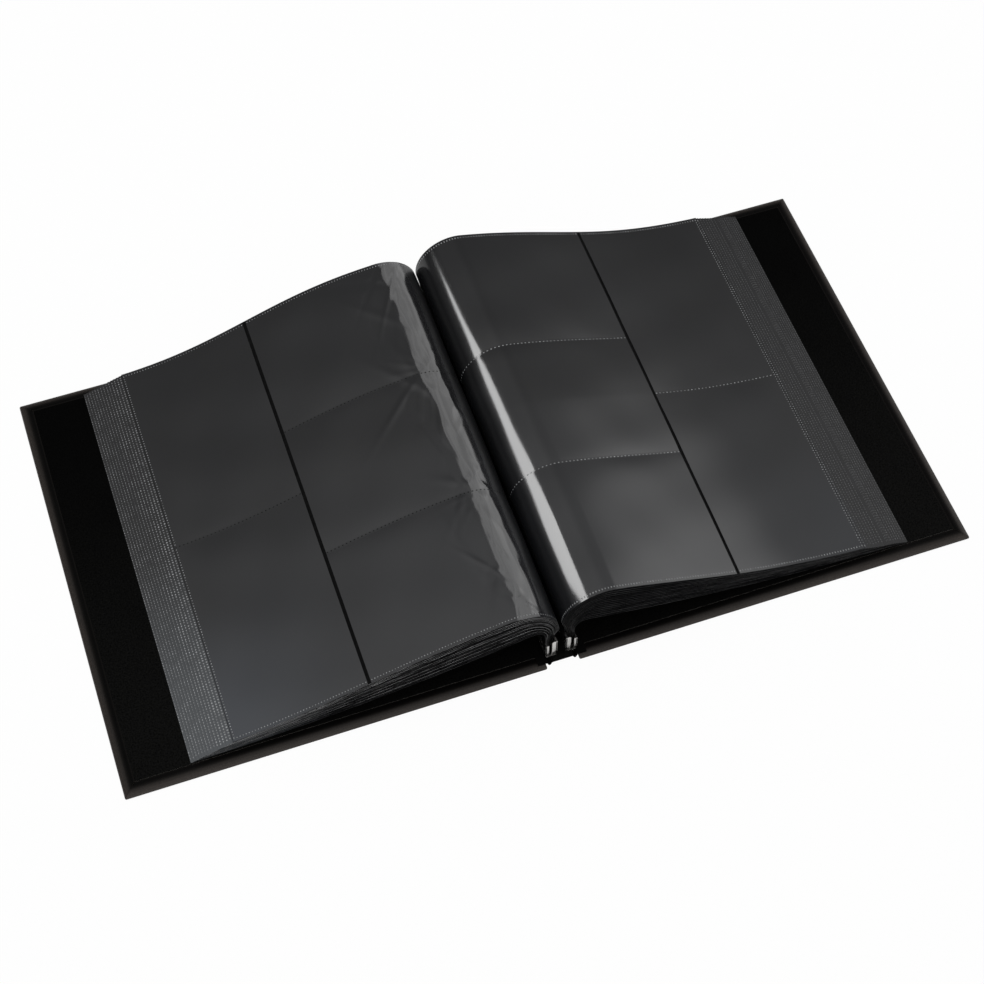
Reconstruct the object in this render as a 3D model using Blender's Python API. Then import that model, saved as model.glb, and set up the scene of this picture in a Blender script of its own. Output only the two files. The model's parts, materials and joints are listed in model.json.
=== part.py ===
"""Slip-in photo album lying open: two covers, a spine with two clip rails, and two packs of leaves.

Metres, +Z up. X runs across the spread, Y along the spine towards the head. The origin is on the
table under the middle of the spine. The front cover is the left one.
"""

from math import atan2, cos, hypot, pi, radians, sin, tan

import bmesh
import bpy

MM = 0.001

# Fit between glued or nested pieces
CLEARANCE = 0.3 * MM

# Covers
COVER_HEIGHT = 335.0 * MM
COVER_WIDTH = 301.0 * MM
BOARD_THICKNESS = 2.5 * MM
BOARD_ROUND = 0.4 * MM
SKIN_THICKNESS = 0.5 * MM
SKIN_ROUND = 1.0 * MM
TURN_IN = 8.0 * MM
ENDPAPER_THICKNESS = 0.3 * MM

# Spine panel and the cloth joints beside it
SPINE_BOARD_THICKNESS = 1.2 * MM
JOINT_WIDTH = 4.4 * MM
JOINT_THICKNESS = 0.5 * MM
JOINT_DIP = 2.6 * MM
JOINT_FLOOR = 1.6 * MM
JOINT_LAP = 6.0 * MM
HINGE_LIFT = 3.6 * MM

# Clip rails, one for each half of the leaf block
RAIL_LENGTH = 331.0 * MM
RAIL_OFFSET = 3.2 * MM
RAIL_WALL = 1.0 * MM
RAIL_BEND = 1.6 * MM
INNER_LEG = 20.0 * MM
OUTER_LEG = 16.0 * MM

# Leaves
LEAVES_PER_SIDE = 15
LEAF_LENGTH = 282.0 * MM
LEAF_HEIGHT = 322.0 * MM
LEAF_SHIFT = 1.5 * MM
LEAF_THICKNESS = 0.25 * MM
ROOT_GAP = 0.15 * MM
BOUND_EDGE = 6.0 * MM
GUTTER_GAP = 3.0 * MM
LEFT_TOP_RISER = 8.5 * MM
RIGHT_TOP_RISER = 16.0 * MM
BOTTOM_RISER = 1.5 * MM
LEFT_TOP_BEND = 30.5 * MM
RIGHT_TOP_BEND = 29.0 * MM
BOTTOM_BEND = 8.5 * MM
LEFT_TOP_FALL = radians(9.0)
RIGHT_TOP_FALL = radians(17.0)
BOTTOM_FALL = radians(13.0)
LEFT_EDGE_FALL = radians(8.0)
RIGHT_EDGE_FALL = radians(6.5)
BOTTOM_EDGE_FALL = radians(1.0)
FORE_EDGE_STEP = 0.78 * MM

# Pocket films on the top leaf of each half
FILM_THICKNESS = 0.15 * MM
FILM_RIM = 1.5 * MM
OUTER_POCKET = 103.0 * MM
DIVIDER = 4.0 * MM

# The leaf that is turned over: its fold past the crest, and the room it keeps in the closed album
FOLD_LENGTH = 22.0 * MM
FOLD_DEPTH = 1.0 * MM
TURN_ROOM = 2.2 * MM

# Facets of the curved sheets
BEND_FACETS = 9
LEAF_FACETS = 12
CORNER_FACETS = 3
ROUND_SEGMENTS = 2
SMOOTH_ANGLE = radians(35.0)

# Halvings of the search for the reach of a leaf
REACH_HALVINGS = 40

SIGN = {"left": -1, "right": 1}
TOP_RISER = {"left": LEFT_TOP_RISER, "right": RIGHT_TOP_RISER}
TOP_BEND = {"left": LEFT_TOP_BEND, "right": RIGHT_TOP_BEND}
TOP_FALL = {"left": LEFT_TOP_FALL, "right": RIGHT_TOP_FALL}
EDGE_FALL = {"left": LEFT_EDGE_FALL, "right": RIGHT_EDGE_FALL}

# Levels of the covers, from the table up
cover_thickness = 2 * SKIN_THICKNESS + 2 * CLEARANCE + BOARD_THICKNESS
board_bottom = SKIN_THICKNESS + CLEARANCE
board_top = board_bottom + BOARD_THICKNESS

# Levels of the spine, whose underside is level with the insides of the covers
joint_bottom = cover_thickness + CLEARANCE
joint_top = joint_bottom + JOINT_THICKNESS
spine_board_bottom = joint_bottom + SKIN_THICKNESS + CLEARANCE
rail_bottom = spine_board_bottom + SPINE_BOARD_THICKNESS + CLEARANCE
rail_corner = rail_bottom + RAIL_WALL / 2 + RAIL_BEND
rail_top = rail_bottom + INNER_LEG
block_bottom = rail_corner
block_top = block_bottom + BOUND_EDGE

# Distances from the middle of the spine
root_pitch = LEAF_THICKNESS + ROOT_GAP
block_width = (LEAVES_PER_SIDE - 1) * root_pitch + LEAF_THICKNESS
block_inner = RAIL_OFFSET + RAIL_WALL + CLEARANCE
block_outer = block_inner + block_width
rail_outer = block_outer + CLEARANCE + RAIL_WALL
cover_start = rail_outer + CLEARANCE
cover_end = cover_start + COVER_WIDTH
spine_half = cover_start - JOINT_WIDTH

# The slack of the cloth joints lets the covers swing about a line above their inner edges
hinge_x = cover_start
hinge_z = joint_top + HINGE_LIFT
closed_half = hinge_x + hinge_z - cover_thickness

# The top leaf lies higher by the films that it carries
film_stack = CLEARANCE + FILM_THICKNESS

leaf_tail = LEAF_SHIFT - LEAF_HEIGHT / 2
leaf_head = LEAF_SHIFT + LEAF_HEIGHT / 2


def remove_everything():
    for thing in list(bpy.data.objects):
        bpy.data.objects.remove(thing, do_unlink=True)


def material(name, colour, roughness, metallic=0.0):
    made = bpy.data.materials.new(name)
    made.use_nodes = True
    shader = made.node_tree.nodes["Principled BSDF"]
    shader.inputs["Base Color"].default_value = (*colour, 1.0)
    shader.inputs["Roughness"].default_value = roughness
    shader.inputs["Metallic"].default_value = metallic
    made.diffuse_color = (*colour, 1.0)
    return made


def place(name, shape, origin, look):
    """Makes an object from a bmesh in world coordinates, with its origin at the given point."""
    bmesh.ops.recalc_face_normals(shape, faces=shape.faces)
    bmesh.ops.translate(shape, verts=shape.verts, vec=[-part for part in origin])
    mesh = bpy.data.meshes.new(name)
    shape.to_mesh(mesh)
    shape.free()
    mesh.shade_smooth()
    mesh.set_sharp_from_angle(angle=SMOOTH_ANGLE)
    thing = bpy.data.objects.new(name, mesh)
    thing.location = origin
    mesh.materials.append(look)
    bpy.context.scene.collection.objects.link(thing)
    return thing


def slab(low, high):
    """A box between two corners."""
    shape = bmesh.new()
    bmesh.ops.create_cube(shape, size=1.0)
    size = [b - a for a, b in zip(low, high)]
    middle = [(a + b) / 2 for a, b in zip(low, high)]
    bmesh.ops.scale(shape, verts=shape.verts, vec=size)
    bmesh.ops.translate(shape, verts=shape.verts, vec=middle)
    return shape


def rounded(shape, radius):
    bmesh.ops.bevel(
        shape,
        geom=shape.edges[:],
        offset=radius,
        segments=ROUND_SEGMENTS,
        profile=0.5,
        affect="EDGES",
    )
    return shape


def side_slab(side, x0, x1, half_y, z0, z1):
    """A box on one half of the album, from x0 to x1 away from the middle of the spine."""
    near, far = sorted((SIGN[side] * x0, SIGN[side] * x1))
    return slab((near, -half_y, z0), (far, half_y, z1))


def extruded(points, quads, tail, head):
    """A solid whose section, a set of quads in X and Z, runs from the tail to the head."""
    shape = bmesh.new()
    ends = [[shape.verts.new((x, y, z)) for x, z in points] for y in (tail, head)]
    seen = {}
    for quad in quads:
        for a, b in zip(quad, quad[1:] + quad[:1]):
            seen.setdefault(frozenset((a, b)), []).append((a, b))
        for end in ends:
            shape.faces.new([end[i] for i in quad])
    for uses in seen.values():
        if len(uses) == 1:
            a, b = uses[0]
            shape.faces.new((ends[0][a], ends[0][b], ends[1][b], ends[1][a]))
    return shape


def between(a, b, share):
    return a + (b - a) * share


def length(path):
    return sum(hypot(b[0] - a[0], b[1] - a[1]) for a, b in zip(path, path[1:]))


def stretch(path, start, end):
    """The part of a path between two distances along it."""
    kept = []
    gone = 0.0
    for a, b in zip(path, path[1:]):
        step = hypot(b[0] - a[0], b[1] - a[1])
        if gone + step > start and gone < end:
            first = max(0.0, (start - gone) / step)
            last = min(1.0, (end - gone) / step)
            if not kept:
                kept.append((between(a[0], b[0], first), between(a[1], b[1], first)))
            kept.append((between(a[0], b[0], last), between(a[1], b[1], last)))
        gone += step
    return kept


def normals(path):
    """The unit normal at each point of a path, to the left of its direction."""
    steps = []
    for a, b in zip(path, path[1:]):
        run = hypot(b[0] - a[0], b[1] - a[1])
        steps.append((-(b[1] - a[1]) / run, (b[0] - a[0]) / run))
    found = []
    for before, after in zip([steps[0]] + steps, steps + [steps[-1]]):
        mid = (before[0] + after[0], before[1] + after[1])
        share = 2 / (mid[0] ** 2 + mid[1] ** 2)
        found.append((mid[0] * share, mid[1] * share))
    return found


def moved_out(path, distance):
    """The path moved to its left by a distance."""
    return [(x + n[0] * distance, z + n[1] * distance) for (x, z), n in zip(path, normals(path))]


def strip(path, thickness):
    """Points and quads of a sheet of even thickness along a path."""
    left = moved_out(path, thickness / 2)
    right = moved_out(path, -thickness / 2)
    points = [point for pair in zip(left, right) for point in pair]
    quads = [[i, i + 1, i + 3, i + 2] for i in range(0, len(points) - 2, 2)]
    return points, quads


def mirrored(points, side):
    return [(SIGN[side] * x, z) for x, z in points]


def arc(centre, radius, start, end, facets):
    angles = [between(start, end, i / facets) for i in range(facets + 1)]
    return [(centre[0] + radius * cos(a), centre[1] + radius * sin(a)) for a in angles]


def root_path(side, number):
    """The bound end of a leaf: up out of its rail and over the crest. Leaf 0 is the top one."""
    depth = number / (LEAVES_PER_SIDE - 1)
    root_x = block_inner + LEAF_THICKNESS / 2 + number * root_pitch
    last_root = block_outer - LEAF_THICKNESS / 2
    start_x = between(GUTTER_GAP / 2, last_root, depth)
    start_z = rail_top + between(TOP_RISER[side], BOTTOM_RISER, depth)
    radius = between(TOP_BEND[side], BOTTOM_BEND, depth)
    fall = between(TOP_FALL[side], BOTTOM_FALL, depth)
    bend = arc((start_x + radius, start_z), radius, pi, pi / 2 - fall, BEND_FACETS)
    return [(root_x, block_top), (root_x, rail_top)] + bend


def free_path(side, number):
    """The open end of a leaf, from its bend to its fore-edge, as long as the leaf has left."""
    depth = number / (LEAVES_PER_SIDE - 1)
    root = root_path(side, number)
    start = root[-1]
    left_over = LEAF_LENGTH - BOUND_EDGE - length(root)
    fall = between(TOP_FALL[side], BOTTOM_FALL, depth)
    edge_fall = between(EDGE_FALL[side], BOTTOM_EDGE_FALL, depth)
    lowest = cover_thickness + CLEARANCE + LEAF_THICKNESS / 2
    end_z = lowest + (LEAVES_PER_SIDE - 1 - number) * FORE_EDGE_STEP
    if number == 0:
        end_z += film_stack

    def curve(end_x):
        lead = hypot(end_x - start[0], end_z - start[1]) / 3
        knee = (start[0] + lead * cos(fall), start[1] - lead * sin(fall))
        heel = (end_x - lead * cos(edge_fall), end_z + lead * sin(edge_fall))
        corners = (start, knee, heel, (end_x, end_z))
        found = []
        for i in range(LEAF_FACETS + 1):
            t = i / LEAF_FACETS
            weights = ((1 - t) ** 3, 3 * t * (1 - t) ** 2, 3 * t**2 * (1 - t), t**3)
            found.append(tuple(sum(w * c[axis] for w, c in zip(weights, corners)) for axis in (0, 1)))
        return found

    near, far = start[0], start[0] + left_over
    for _ in range(REACH_HALVINGS):
        middle = (near + far) / 2
        if length(curve(middle)) < left_over:
            near = middle
        else:
            far = middle
    return curve(far)


def bow(path):
    """How far a path rises above the straight line between its ends, and how far it sags below it."""
    run = hypot(path[-1][0] - path[0][0], path[-1][1] - path[0][1])
    along = ((path[-1][0] - path[0][0]) / run, (path[-1][1] - path[0][1]) / run)
    off = [along[0] * (z - path[0][1]) - along[1] * (x - path[0][0]) for x, z in path]
    return max(off), -min(off)


def closing(side, number):
    """The axis that stands a leaf up as its cover closes, and how far it turns."""
    free = free_path(side, number)
    start, end = free[0], free[-1]
    turn = pi / 2 + atan2(start[1] - end[1], end[0] - start[0])
    rise, _ = bow(free_path(side, 0))
    _, sag = bow(free_path(side, LEAVES_PER_SIDE - 1))
    first_x = CLEARANCE + LEAF_THICKNESS / 2 + film_stack + rise
    if side == "right":
        first_x += TURN_ROOM
    last_x = closed_half - CLEARANCE - LEAF_THICKNESS / 2 - sag
    stood_x = between(first_x, last_x, number / (LEAVES_PER_SIDE - 1))
    stood_z = block_top + length(root_path(side, number))
    step = (stood_x - start[0], stood_z - start[1])
    share = 1 / (2 * tan(turn / 2))
    middle = ((start[0] + stood_x) / 2, (start[1] + stood_z) / 2)
    pivot = (middle[0] - step[1] * share, middle[1] + step[0] * share)
    return (SIGN[side] * pivot[0], 0.0, pivot[1]), turn


def fold_axis(distance):
    """An axis close under the top leaf of the right half, at a distance from its bend."""
    onwards = stretch(free_path("right", 0), distance, LEAF_LENGTH)
    x, z = moved_out(onwards, -FOLD_DEPTH)[0]
    return x, 0.0, z


def cutter(name, shape, target, look):
    """Hides a shape and cuts it out of an object."""
    tool = place(name, shape, target.location, look)
    tool.hide_render = True
    tool.display_type = "WIRE"
    cut = target.modifiers.new(name, "BOOLEAN")
    cut.operation = "DIFFERENCE"
    cut.solver = "EXACT"
    cut.object = tool


def make_cover(name, side, looks):
    """Board, skin with its edges turned in, and endpaper, all with their origin on the hinge."""
    hinge = (SIGN[side] * hinge_x, 0.0, hinge_z)
    half = COVER_HEIGHT / 2
    inset = SKIN_THICKNESS + CLEARANCE
    mouth_bottom = board_top
    mouth_top = cover_thickness + SKIN_THICKNESS

    outside = side_slab(side, cover_start, cover_end, half, 0.0, cover_thickness)
    skin = place(f"{name}_skin", rounded(outside, SKIN_ROUND), hinge, looks["leatherette"])
    hollow = side_slab(
        side,
        cover_start + SKIN_THICKNESS,
        cover_end - SKIN_THICKNESS,
        half - SKIN_THICKNESS,
        SKIN_THICKNESS,
        cover_thickness - SKIN_THICKNESS,
    )
    cutter(f"{name}_skin_hollow", hollow, skin, looks["leatherette"])
    mouth = side_slab(
        side,
        cover_start + SKIN_THICKNESS,
        cover_end - TURN_IN,
        half - TURN_IN,
        mouth_bottom,
        mouth_top,
    )
    cutter(f"{name}_skin_mouth", mouth, skin, looks["leatherette"])

    board = side_slab(side, cover_start + inset, cover_end - inset, half - inset, board_bottom, board_top)
    place(f"{name}_board", rounded(board, BOARD_ROUND), hinge, looks["greyboard"])

    paper_bottom = board_top + CLEARANCE
    margin = TURN_IN + CLEARANCE
    paper = side_slab(
        side,
        cover_start + inset,
        cover_end - margin,
        half - margin,
        paper_bottom,
        paper_bottom + ENDPAPER_THICKNESS,
    )
    place(f"{name}_endpaper", paper, hinge, looks["endpaper"])


def make_spine(looks):
    half = COVER_HEIGHT / 2
    here = (0.0, 0.0, 0.0)
    skin_top = joint_bottom + SKIN_THICKNESS
    skin = slab((-spine_half, -half, joint_bottom), (spine_half, half, skin_top))
    place("spine_skin", skin, here, looks["leatherette"])
    board_half = half - CLEARANCE
    board_high = spine_board_bottom + SPINE_BOARD_THICKNESS
    board = slab((-spine_half, -board_half, spine_board_bottom), (spine_half, board_half, board_high))
    place("spine_board", board, here, looks["greyboard"])
    level = (joint_bottom + joint_top) / 2
    edge = JOINT_THICKNESS / 2 + CLEARANCE
    near = spine_half + edge
    far = cover_start - edge
    middle = (near + far) / 2
    dip = level - JOINT_DIP
    path = [(near, level), (middle - JOINT_FLOOR / 2, dip), (middle + JOINT_FLOOR / 2, dip)]
    path += [(far, level), (cover_start + JOINT_LAP, level)]
    points, quads = strip(path, JOINT_THICKNESS)
    for name, side in (("front", "left"), ("back", "right")):
        cloth = extruded(mirrored(points, side), quads, -board_half, board_half)
        place(f"{name}_joint_cloth", cloth, here, looks["joint_cloth"])


def make_rail(side, looks):
    """A sheet-metal channel whose legs grip the bound edge of one half of the leaves."""
    inner = RAIL_OFFSET + RAIL_WALL / 2
    outer = rail_outer - RAIL_WALL / 2
    path = [(inner, rail_top)]
    path += arc((inner + RAIL_BEND, rail_corner), RAIL_BEND, pi, 3 * pi / 2, CORNER_FACETS)
    path += arc((outer - RAIL_BEND, rail_corner), RAIL_BEND, 3 * pi / 2, 2 * pi, CORNER_FACETS)
    path += [(outer, rail_bottom + OUTER_LEG)]
    points, quads = strip(path, RAIL_WALL)
    tail = LEAF_SHIFT - RAIL_LENGTH / 2
    rail = extruded(mirrored(points, side), quads, tail, tail + RAIL_LENGTH)
    place(f"{side}_clip_rail", rail, (0.0, 0.0, 0.0), looks["bright_steel"])


def make_roots(side, looks):
    """The bound edge of one half of the leaf block, with the root of each of its leaves."""
    points = []
    quads = []
    for number in range(LEAVES_PER_SIDE):
        root = root_path(side, number)
        root = stretch(root, 0.0, length(root) - CLEARANCE)
        base = len(points)
        edge = LEAF_THICKNESS / 2
        foot_x = root[0][0]
        points += [(foot_x - edge, block_bottom), (foot_x + edge, block_bottom)]
        sheet, strips = strip(root, LEAF_THICKNESS)
        first = len(points)
        points += sheet
        quads.append([base, base + 1, first + 1, first])
        quads += [[first + i for i in quad] for quad in strips]
        if number:
            quads.append([previous[0], base, first, previous[1]])
        previous = (base + 1, first + 1)
    comb = extruded(mirrored(points, side), quads, leaf_tail, leaf_head)
    place(f"{side}_leaf_roots", comb, (0.0, 0.0, 0.0), looks["page_black"])


def leaf_sheet(name, side, path, thickness, rim, origin, look):
    points, quads = strip(path, thickness)
    sheet = extruded(mirrored(points, side), quads, leaf_tail + rim, leaf_head - rim)
    return place(name, sheet, origin, look)


def make_films(side, face, start, origin, looks):
    """The two pocket films on one face of a top leaf, on either side of the bare strip."""
    free = free_path(side, 0)
    stack = LEAF_THICKNESS / 2 + film_stack - FILM_THICKNESS / 2
    whole = length(free)
    strip_end = whole - FILM_RIM - OUTER_POCKET
    columns = {
        "inner": (start, strip_end - DIVIDER),
        "outer": (strip_end, whole - FILM_RIM),
    }
    for column, (near, far) in columns.items():
        path = moved_out(stretch(free, near, far), stack if face == "upper" else -stack)
        name = f"{side}_{face}_{column}_film"
        leaf_sheet(name, side, path, FILM_THICKNESS, FILM_RIM, origin, looks["pocket_film"])


def make_leaves(side, looks):
    for number in range(LEAVES_PER_SIDE):
        if side == "right" and number == 0:
            continue
        name = f"{side}_leaf_{number + 1:02d}"
        origin, _ = closing(side, number)
        path = free_path(side, number)
        leaf_sheet(name, side, path, LEAF_THICKNESS, 0.0, origin, looks["page_black"])
        if number == 0:
            make_films(side, "upper", 0.0, origin, looks)


def make_turning_leaf(looks):
    """The top leaf of the right half, in a strip that folds and the page that it carries."""
    free = free_path("right", 0)
    near = FOLD_LENGTH - CLEARANCE / 2
    far = FOLD_LENGTH + CLEARANCE / 2
    strip_axis = fold_axis(FOLD_LENGTH / 2)
    page_axis = fold_axis(FOLD_LENGTH * 3 / 2)
    page = looks["page_black"]
    strip_path = stretch(free, 0.0, near)
    leaf_sheet("right_leaf_01_fold", "right", strip_path, LEAF_THICKNESS, 0.0, strip_axis, page)
    page_path = stretch(free, far, LEAF_LENGTH)
    leaf_sheet("right_leaf_01", "right", page_path, LEAF_THICKNESS, 0.0, page_axis, page)
    for face in ("upper", "lower"):
        make_films("right", face, far, page_axis, looks)


def main():
    remove_everything()
    looks = {
        "leatherette": material("leatherette", (0.030, 0.026, 0.024), 0.55),
        "greyboard": material("greyboard", (0.30, 0.28, 0.25), 0.90),
        "endpaper": material("endpaper", (0.006, 0.006, 0.006), 0.80),
        "joint_cloth": material("joint_cloth", (0.010, 0.010, 0.010), 0.85),
        "bright_steel": material("bright_steel", (0.72, 0.71, 0.69), 0.22, 1.0),
        "page_black": material("page_black", (0.015, 0.015, 0.016), 0.45),
        "pocket_film": material("pocket_film", (0.045, 0.047, 0.050), 0.15),
    }
    make_spine(looks)
    make_cover("front", "left", looks)
    make_cover("back", "right", looks)
    for side in SIGN:
        make_rail(side, looks)
        make_roots(side, looks)
        make_leaves(side, looks)
    make_turning_leaf(looks)


main()
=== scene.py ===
"""Looks of a slip-in photo album lying open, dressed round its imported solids.

Metres, +Z up. X runs across the spread, Y along the spine towards the head. The front cover is
the left one, and leaf 0 of each half is the top one.
"""

import json
from math import cos, pi, radians, sin

import bpy
import numpy as np
from mathutils import Matrix, Vector

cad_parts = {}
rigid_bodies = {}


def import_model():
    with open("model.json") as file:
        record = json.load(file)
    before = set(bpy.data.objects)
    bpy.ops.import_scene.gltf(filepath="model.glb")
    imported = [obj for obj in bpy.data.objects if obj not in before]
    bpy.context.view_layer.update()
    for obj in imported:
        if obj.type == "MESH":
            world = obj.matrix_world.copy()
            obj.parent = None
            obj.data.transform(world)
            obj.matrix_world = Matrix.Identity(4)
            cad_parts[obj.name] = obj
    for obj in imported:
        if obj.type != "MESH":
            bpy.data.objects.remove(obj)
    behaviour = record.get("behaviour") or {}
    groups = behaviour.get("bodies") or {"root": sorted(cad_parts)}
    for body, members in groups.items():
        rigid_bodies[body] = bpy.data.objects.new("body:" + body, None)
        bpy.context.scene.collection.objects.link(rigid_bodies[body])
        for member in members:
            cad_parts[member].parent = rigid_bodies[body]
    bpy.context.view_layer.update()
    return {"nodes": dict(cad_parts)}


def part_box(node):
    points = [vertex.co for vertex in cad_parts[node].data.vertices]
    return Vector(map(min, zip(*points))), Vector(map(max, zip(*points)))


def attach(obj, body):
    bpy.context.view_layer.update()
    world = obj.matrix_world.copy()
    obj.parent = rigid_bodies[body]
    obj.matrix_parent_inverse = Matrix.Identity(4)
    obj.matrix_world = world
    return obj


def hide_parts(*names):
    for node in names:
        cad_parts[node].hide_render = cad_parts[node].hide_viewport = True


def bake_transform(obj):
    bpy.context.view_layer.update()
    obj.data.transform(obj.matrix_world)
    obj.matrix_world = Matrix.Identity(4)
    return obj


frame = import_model()

MM = 0.001
SIGN = {"left": -1, "right": 1}
COVER = {"left": "front", "right": "back"}

# Levels and places shared with the solids
COVER_THICKNESS = 4.1 * MM
COVER_NEAR = 11.95 * MM
COVER_FAR = 312.95 * MM
COVER_HALF = 167.5 * MM
HOLLOW_LOW = 0.5 * MM
HOLLOW_HIGH = 3.6 * MM
JOINT_LEVEL = 4.65 * MM
JOINT_THICKNESS = 0.5 * MM
JOINT_HALF = 167.2 * MM
SPINE_HALF = 7.55 * MM
RAIL_INNER = 3.7 * MM
RAIL_OUTER = 11.15 * MM
RAIL_LEVEL = 7.2 * MM
RAIL_TOP = 26.7 * MM
RAIL_OUTER_TOP = 22.7 * MM
RAIL_TAIL = -164.0 * MM
RAIL_HEAD = 167.0 * MM
RAIL_METAL = 0.9 * MM
RAIL_HALF = 0.45 * MM
BLOCK_LOW = 8.8 * MM
BLOCK_TOP = 14.8 * MM
BLOCK_INNER = 4.5 * MM
BLOCK_OUTER = 10.35 * MM

# Leaves
LEAVES = 15
LEAF_LENGTH = 276.0 * MM
LEAF_TAIL = -159.5 * MM
LEAF_HEAD = 162.5 * MM
LEAF_HALF = 0.125 * MM
ROOT_PITCH = 0.4 * MM
LAST_ROOT = 10.225 * MM
GUTTER_HALF = 0.65 * MM
TOP_RISER = {"left": 8.5 * MM, "right": 16.0 * MM}
TOP_BEND = {"left": 30.5 * MM, "right": 29.0 * MM}
TOP_FALL = {"left": radians(9.0), "right": radians(17.0)}
EDGE_FALL = {"left": radians(8.0), "right": radians(6.5)}
BOTTOM_RISER = 1.5 * MM
BOTTOM_BEND = 8.5 * MM
BOTTOM_FALL = radians(13.0)
BOTTOM_EDGE_FALL = radians(1.0)
FORE_EDGE_STEP = 0.78 * MM
FORE_EDGE_LOW = 4.525 * MM
FILM_STACK = 0.45 * MM
FOLD = 22.0 * MM

# Pockets
FILM_RIM = 0.3 * MM
OUTER_POCKET = 103.0 * MM
DIVIDER = 2.6 * MM
DIVIDER_OUT = {"left": 3.5 * MM, "right": 0.8 * MM}
FILM_HALF = 0.06 * MM
FILM_REST = 0.20 * MM
FILM_FINE = 1.3 * MM
FILM_COARSE = 4 * MM
POCKET_SWELL = 0.22 * MM
BUCKLE = 0.16 * MM
RIPPLE = 0.05 * MM
RELIEF_LOW = -0.06 * MM
RELIEF_HIGH = 0.4 * MM
DOT_PITCH = 2.2 * MM
DOT_LONG = 0.52 * MM
DOT_NARROW = 0.48 * MM
DOT_INSET = 2.4 * MM
DOT_HEIGHT = 0.10 * MM
EDGE_DOT_LONG = {"left": 0.66, "right": 0.36}
EDGE_DOT_WIDE = {"left": 0.66, "right": 0.50}
EDGE_DOT_HEIGHT = 0.08 * MM
EDGE_TICK = {"left": 1.0, "right": 1.7}
SEAM_PITCH = 3.0 * MM
SEAM_LONG = 0.78 * MM
SEAM_NARROW = 0.56 * MM
MARK_DRIFT = 0.37

# How the leaves lie: further out at the fore-edge than a stiff sheet would, fuller over the crest
# at the head, the right half sagging towards the tail and leaning out of the gutter there
REACH = {
    "left": [3.0, 2.8, 2.5, 2.3, 2.0, 1.8, 1.5, 1.3, 1.1, 0.9, 0.7, 0.5, 0.3, 0.1, 0.0],
    "right": [9.5, 8.7, 7.9, 7.1, 6.3, 5.5, 4.8, 4.3, 8.0, 7.2, 6.4, 5.5, 4.6, 3.8, 3.0],
}
GLINTS = {"left": (0, 1, 2, 3, 5, 6, 8, 10, 12), "right": ()}
SAG = {"left": 0.0 * MM, "right": 2.0 * MM}
HEAD_LIFT = {"left": 0.5 * MM, "right": 2.5 * MM}
TAIL_DROP = {"left": 1.0 * MM, "right": 4.0 * MM}
FULLNESS = {"left": 2.5 * MM, "right": 1.5 * MM}
LEAN = {"left": 0.5 * MM, "right": 2.4 * MM}
HEAD_CLOSE = 0.62 * MM

# How far the turned leaf's page follows its last fold, at the tail and at the head: a little
# short, so that it lies on the other half instead of in it
TURN_TAIL = 0.945
TURN_HEAD = 0.906


# ---------------------------------------------------------------- finishes


def add_node(tree, kind, inputs=None, **settings):
    """A shader node; each of its inputs is a value or another node's output."""
    made = tree.nodes.new("ShaderNode" + kind)
    for setting, value in settings.items():
        setattr(made, setting, value)
    for socket, value in (inputs or {}).items():
        if isinstance(value, bpy.types.NodeSocket):
            tree.links.new(value, made.inputs[socket])
        else:
            made.inputs[socket].default_value = value
    return made


def combine(operation, a, b):
    return add_node(a.id_data, "Math", {0: a, 1: b}, operation=operation).outputs["Value"]


def dot(vector, way):
    """How far a vector runs along a direction."""
    inputs = {0: vector, 1: way}
    return add_node(vector.id_data, "VectorMath", inputs, operation="DOT_PRODUCT").outputs["Value"]


def ramp(value, start, end, low=0.0, high=1.0, kind="SMOOTHSTEP"):
    """A value that goes from low to high."""
    inputs = {"Value": value, "From Min": start, "From Max": end, "To Min": low, "To Max": high}
    return add_node(value.id_data, "MapRange", inputs, interpolation_type=kind).outputs["Result"]


def parts_of(vector):
    """The X, Y and Z of a vector."""
    return add_node(vector.id_data, "SeparateXYZ", {"Vector": vector}).outputs


def effect(name, inputs, output):
    """A shader node group without nodes yet: the sockets it is given, and the one it puts out."""
    group = bpy.data.node_groups.new(name, "ShaderNodeTree")
    for socket, value in inputs.items():
        kind = "NodeSocketVector" if value is None else "NodeSocketFloat"
        made = group.interface.new_socket(socket, in_out="INPUT", socket_type=kind)
        if value is not None:
            made.default_value = value
    group.interface.new_socket(output, in_out="OUTPUT", socket_type="NodeSocketFloat")
    given = group.nodes.new("NodeGroupInput").outputs
    return group, given, group.nodes.new("NodeGroupOutput").inputs[output]


def mottle_effect():
    """A soft cloudy value between Low and High."""
    inputs = {"Vector": None, "Scale": 20.0, "Low": 0.0, "High": 1.0}
    group, given, put = effect("mottle", inputs, "Value")
    noise = {"Vector": given["Vector"], "Scale": given["Scale"], "Detail": 5.0, "Roughness": 0.6}
    clouds = add_node(group, "TexNoise", noise).outputs["Fac"]
    group.links.new(ramp(clouds, 0.3, 0.7, given["Low"], given["High"], "LINEAR"), put)
    return group


def pebble_effect():
    """Rounded pebbles parted by fine furrows, as embossed into leatherette and lining paper."""
    group, given, put = effect("pebble", {"Vector": None, "Scale": 900.0}, "Height")
    inputs = {"Vector": given["Vector"], "Scale": given["Scale"]}
    cells = add_node(group, "TexVoronoi", inputs, feature="DISTANCE_TO_EDGE")
    group.links.new(ramp(cells.outputs["Distance"], 0.0, 0.28), put)
    return group


def root_shade_effect():
    """A value that fades out along a leaf's edge, from its crest down to the rail."""
    group, given, put = effect("root_shade", {"Vector": None, "Value": 1.0}, "Value")
    fade = ramp(parts_of(given["Vector"])["X"], -42 * MM, -14 * MM)
    group.links.new(combine("MULTIPLY", fade, given["Value"]), put)
    return group


MOTTLE = mottle_effect()
PEBBLE = pebble_effect()
ROOT_SHADE = root_shade_effect()
LOOKS = {}


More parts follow.
